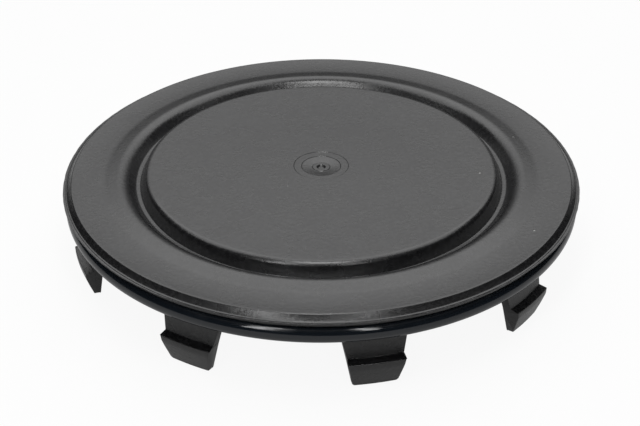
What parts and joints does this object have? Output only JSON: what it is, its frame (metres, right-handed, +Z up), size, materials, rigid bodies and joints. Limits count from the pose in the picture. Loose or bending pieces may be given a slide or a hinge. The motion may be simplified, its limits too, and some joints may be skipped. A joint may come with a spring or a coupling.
{
  "type": "hubcap",
  "caption": "Round snap-in wheel hubcap: a slightly dished middle disc and a broad rim band with a groove between, hooked clips underneath and a rubber sealing ring.",
  "frame": {"origin": "on the axis of the cap, in the plane of the clip tips that it stands on", "axes": "+Z up out of the face, along the axis of the cap; one clip points to -Y"},
  "size_m": [0.086, 0.086, 0.0142],
  "materials": {
    "cap_plastic": "moulded plastic, near black, fine satin",
    "ring_rubber": "black rubber cord ring, oiled and shiny"
  },
  "bodies": {
    "root": {"cap": "cap_plastic", "seal_ring": "ring_rubber"}
  },
  "joints": []
}
